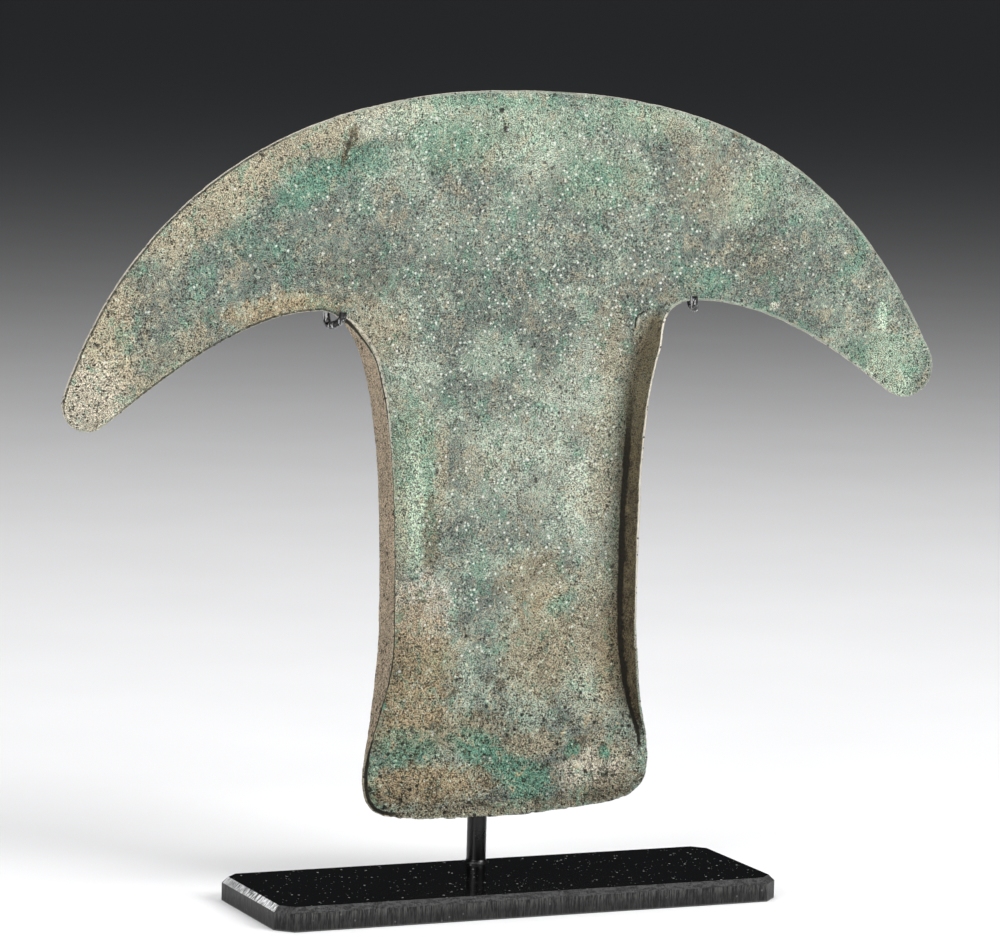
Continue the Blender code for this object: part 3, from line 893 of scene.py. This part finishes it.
def build_blade(settings):
    """The blade as one closed skin: front, sides with their flanges, and back."""
    solid = NODES["hoe_blade"]
    coarse, back_y = edge_loop(solid)
    loop = smooth_loop(coarse, EDGE_STEP)
    ways = inward_ways(loop)
    count = len(loop)
    rise = loop[:, 2]
    spots, insets, owners = [], [], []

    def add_row(inset, depth):
        places = loop[:, :2] + ways * inset
        spots.extend(zip(places[:, 0], back_y - depth, places[:, 1]))
        insets.extend([inset] * count)
        owners.extend(range(count))

    flange_top = EDGE_THICKNESS + rise * FLANGE_PROFILE[0][1]
    add_row(BACK_BAND, np.zeros(count))
    add_row(BACK_BAND * 0.35, np.full(count, BLADE_BACK_ROUND * 0.25))
    for row in range(SIDE_ROWS):
        share = row / SIDE_ROWS
        add_row(0.0, BLADE_BACK_ROUND + (flange_top - BLADE_BACK_ROUND) * share)
    for inset, share in FLANGE_PROFILE:
        add_row(inset * MM, sheet_depth(inset * MM) + rise * share)
    rows = len(spots) // count

    faces = []
    for row in range(rows - 1):
        for index in range(count):
            beside = (index + 1) % count
            near, far = row * count, (row + 1) * count
            faces.append((near + index, near + beside, far + beside, far + index))

    tree = kdtree.KDTree(count)
    for index, (x, z, _) in enumerate(loop):
        tree.insert((x, z, 0.0), index)
    tree.balance()
    for first_row, step, clear, is_front in (
        (rows - 1, FRONT_STEP, FRONT_STEP * 0.55, True),
        (0, BACK_STEP, BACK_STEP * 0.45, False),
    ):
        ring = np.array(spots[first_row * count : (first_row + 1) * count])[:, [0, 2]]
        filled, triangles = fill(ring, step, clear)
        start = len(spots)
        for x, z in filled[count:]:
            _, owner, inset = tree.find((x, z, 0.0))
            tail = FLANGE_PROFILE[-1][1] * (1.0 - ease((inset - BAND_WIDTH) / (1.5 * MM)))
            depth = sheet_depth(inset) + rise[owner] * tail if is_front else 0.0
            spots.append((x, back_y - depth, z))
            insets.append(inset)
            owners.append(owner)
        for face in triangles:
            faces.append(
                tuple(
                    corner - count + start if corner >= count else first_row * count + corner
                    for corner in face
                )
            )

    spots, insets, owners = np.array(spots), np.array(insets), np.array(owners)
    nibble = np.zeros(count)
    for index, (x, z, _) in enumerate(loop):
        place = Vector((x, 0.0, z)) / MM
        wide = max(0.0, noise.noise(place * 0.35))
        small = max(0.0, noise.noise(place * 1.1) + 0.1)
        small *= max(0.0, 0.5 + noise.noise(place * 0.22) * 1.8)
        low = min(max((40.0 - place.z) / 25.0, 0.0), 1.0)
        loss = wide * 0.5 + small * (0.35 + 0.65 * low)
        nibble[index] = settings.nibble_depth * loss + LEAST_LOSS
    shift = nibble[owners] * (1.0 - ease(insets / (2.5 * MM)))
    spots[:, 0] += ways[owners, 0] * shift
    spots[:, 2] += ways[owners, 1] * shift

    mesh = bpy.data.meshes.new("hoe_patina")
    mesh.from_pydata(spots.tolist(), [], faces)
    mesh.validate()
    bm = bmesh.new()
    bm.from_mesh(mesh)
    bmesh.ops.recalc_face_normals(bm, faces=bm.faces)
    bm.to_mesh(mesh)
    bm.free()
    normals = np.zeros(len(spots) * 3)
    mesh.vertex_normals.foreach_get("vector", normals)
    normals = normals.reshape(-1, 3)
    spots += normals * relief(spots, normals, insets, settings)[:, None]
    low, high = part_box("hoe_blade")
    spots = np.clip(spots, np.array(low), np.array(high))
    mesh.vertices.foreach_set("co", spots.ravel())
    for name, values in (("edge_distance", insets / MM), ("flange_rise", rise[owners] / MM)):
        mesh.attributes.new(name, "FLOAT", "POINT").data.foreach_set("value", values)
    mesh.shade_smooth()
    mesh.update()
    blade = bpy.data.objects.new("hoe_patina", mesh)
    bpy.context.scene.collection.objects.link(blade)
    blade.data.materials.append(patina_finish(settings, back_y / MM))
    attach(blade, BODY)
    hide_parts("hoe_blade")


# --- Stand ---------------------------------------------------------------------------------


def dress(node_name, finish, bevel=0.0):
    """Give a solid its finish, and soften its edges where it has sharp ones."""
    node = NODES[node_name]
    node.data.materials.clear()
    node.data.materials.append(finish)
    if bevel:
        soften = node.modifiers.new("worn_edges", "BEVEL")
        soften.width = bevel
        soften.segments = 2
        soften.limit_method = "ANGLE"
        soften.angle_limit = math.radians(25.0)
        soften.harden_normals = True


def turned_piece(name, centre, profile, sides, finish):
    """A round piece from its profile of radius and height, turned about an upright line."""
    bm = bmesh.new()
    rings = []
    for radius, height in profile:
        ring = []
        for side in range(sides):
            angle = math.tau * side / sides
            ring.append(bm.verts.new((radius * math.cos(angle), radius * math.sin(angle), height)))
        rings.append(ring)
    for lower, upper in zip(rings, rings[1:]):
        for side in range(sides):
            beside = (side + 1) % sides
            bm.faces.new((lower[side], lower[beside], upper[beside], upper[side]))
    bm.faces.new(rings[0][::-1])
    bm.faces.new(rings[-1])
    bmesh.ops.translate(bm, verts=bm.verts, vec=centre)
    mesh = bpy.data.meshes.new(name)
    bm.to_mesh(mesh)
    bm.free()
    mesh.shade_smooth()
    mesh.set_sharp_from_angle(angle=math.radians(40.0))
    mesh.materials.append(finish)
    piece = bpy.data.objects.new(name, mesh)
    bpy.context.scene.collection.objects.link(piece)
    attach(piece, BODY)


def build_base(settings):
    dress("stand_base", base_finish(settings), 0.16 * MM)


def build_post(settings):
    """Paint on the post, the fillet round its foot and the braze under the wire."""
    finish = rod_finish(settings, "post_black", 0.0)
    dress("stand_post", finish)
    low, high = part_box("stand_post")
    _, base_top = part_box("stand_base")
    radius = (high.x - low.x) / 2.0
    centre = Vector(((low.x + high.x) / 2.0, (low.y + high.y) / 2.0, 0.0))
    width = settings.post_foot_width
    foot = [(radius + width * out, base_top.z + width * lift) for out, lift in FOOT_RINGS]
    foot.append((radius + POST_CLEARANCE, base_top.z + width))
    turned_piece("post_foot_fillet", centre, foot, 40, finish)

    _, wire_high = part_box("cradle_wire")
    seat = Vector((centre.x, wire_high.y - WIRE_RADIUS, 0.0))
    top = [(radius * share, high.z + lift) for share, lift in BRAZE_RINGS]
    turned_piece("post_top_braze", (centre + seat) / 2.0, top, 32, finish)


def build_wire(settings):
    dress("cradle_wire", rod_finish(settings, "wire_worn", 0.2))


# --- Stage ---------------------------------------------------------------------------------


def add_softbox(name, size, place, power):
    light = bpy.data.lights.new(name, "AREA")
    light.shape = "RECTANGLE"
    light.size, light.size_y = size
    light.energy = power
    lamp = bpy.data.objects.new(name, light)
    bpy.context.scene.collection.objects.link(lamp)
    lamp.location = place
    way = Vector(LIT_SPOT) - Vector(place)
    lamp.rotation_euler = way.to_track_quat("-Z", "Y").to_euler()


def build_stage(settings):
    """Floor, lights and the photograph's camera."""
    bm = bmesh.new()
    bmesh.ops.create_grid(bm, x_segments=2, y_segments=2, size=settings.floor_half)
    mesh = bpy.data.meshes.new("floor")
    bm.to_mesh(mesh)
    bm.free()
    mesh.materials.append(floor_finish(settings))
    floor = bpy.data.objects.new("floor", mesh)
    floor.location.z = -FLOOR_DROP
    bpy.context.scene.collection.objects.link(floor)

    powers = (settings.key_power, settings.top_power, settings.fill_power)
    for softbox, power in zip(SOFTBOXES, powers):
        add_softbox(*softbox, power)

    world = bpy.data.worlds.new("studio_air")
    world.use_nodes = True
    air = world.node_tree.nodes["Background"]
    air.inputs["Color"].default_value = AIR_TINT
    air.inputs["Strength"].default_value = settings.air
    bpy.context.scene.world = world
    bpy.context.scene.view_settings.view_transform = "Standard"

    back = Vector(
        (
            -math.sin(CAMERA_AZIMUTH) * math.cos(CAMERA_ELEVATION),
            -math.cos(CAMERA_AZIMUTH) * math.cos(CAMERA_ELEVATION),
            math.sin(CAMERA_ELEVATION),
        )
    )
    level = Vector((math.cos(CAMERA_AZIMUTH), -math.sin(CAMERA_AZIMUTH), 0.0))
    lift = level.cross(-back)
    right = level * math.cos(CAMERA_ROLL) + lift * math.sin(CAMERA_ROLL)
    up = lift * math.cos(CAMERA_ROLL) - level * math.sin(CAMERA_ROLL)
    data = bpy.data.cameras.new("camera")
    data.sensor_width = CAMERA_SENSOR
    data.lens = CAMERA_LENS
    data.clip_start = 0.01
    camera = bpy.data.objects.new("camera", data)
    turn = Matrix((right, up, back)).transposed().to_4x4()
    camera.matrix_world = Matrix.Translation(CAMERA_TARGET + back * CAMERA_DISTANCE) @ turn
    bpy.context.scene.collection.objects.link(camera)
    bpy.context.scene.camera = camera


# --- Operators and panel -------------------------------------------------------------------


class HOE_OT_blade(bpy.types.Operator):
    """Build the corroded copper blade"""

    bl_idname = "hoe.blade"
    bl_label = "Blade"

    def execute(self, context):
        build_blade(context.scene.hoe_blade)
        return {"FINISHED"}


class HOE_OT_base(bpy.types.Operator):
    """Paint the base and mark its filed edges"""

    bl_idname = "hoe.base"
    bl_label = "Base"

    def execute(self, context):
        build_base(context.scene.hoe_stand)
        return {"FINISHED"}


class HOE_OT_post(bpy.types.Operator):
    """Paint the post and add its joints"""

    bl_idname = "hoe.post"
    bl_label = "Post"

    def execute(self, context):
        build_post(context.scene.hoe_stand)
        return {"FINISHED"}


class HOE_OT_wire(bpy.types.Operator):
    """Paint the wire and wear it bright"""

    bl_idname = "hoe.wire"
    bl_label = "Wire"

    def execute(self, context):
        build_wire(context.scene.hoe_stand)
        return {"FINISHED"}


class HOE_OT_stage(bpy.types.Operator):
    """Set the floor, the lights and the camera"""

    bl_idname = "hoe.stage"
    bl_label = "Stage"

    def execute(self, context):
        build_stage(context.scene.hoe_stage)
        return {"FINISHED"}


OPERATORS = (HOE_OT_stage, HOE_OT_base, HOE_OT_post, HOE_OT_wire, HOE_OT_blade)


class HOE_PT_panel(bpy.types.Panel):
    """Build buttons and settings"""

    bl_idname = "HOE_PT_panel"
    bl_label = "Hoe Currency"
    bl_space_type = "VIEW_3D"
    bl_region_type = "UI"
    bl_category = "Hoe Currency"

    def draw(self, context):
        for operator in OPERATORS:
            self.layout.operator(operator.bl_idname)
        for group in (context.scene.hoe_blade, context.scene.hoe_stand, context.scene.hoe_stage):
            box = self.layout.box()
            for name in group.__annotations__:
                box.prop(group, name)


SETTINGS = {
    "hoe_blade": HoeBladeSettings,
    "hoe_stand": HoeStandSettings,
    "hoe_stage": HoeStageSettings,
}


def register():
    for group in SETTINGS.values():
        bpy.utils.register_class(group)
    for name, group in SETTINGS.items():
        setattr(bpy.types.Scene, name, PointerProperty(type=group))
    for operator in OPERATORS:
        bpy.utils.register_class(operator)
    bpy.utils.register_class(HOE_PT_panel)


def unregister():
    bpy.utils.unregister_class(HOE_PT_panel)
    for operator in reversed(OPERATORS):
        bpy.utils.unregister_class(operator)
    for name, group in SETTINGS.items():
        delattr(bpy.types.Scene, name)
        bpy.utils.unregister_class(group)


def main():
    """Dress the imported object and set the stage."""
    register()
    bpy.ops.hoe.stage()
    bpy.ops.hoe.base()
    bpy.ops.hoe.post()
    bpy.ops.hoe.wire()
    bpy.ops.hoe.blade()


if __name__ == "__main__":
    main()
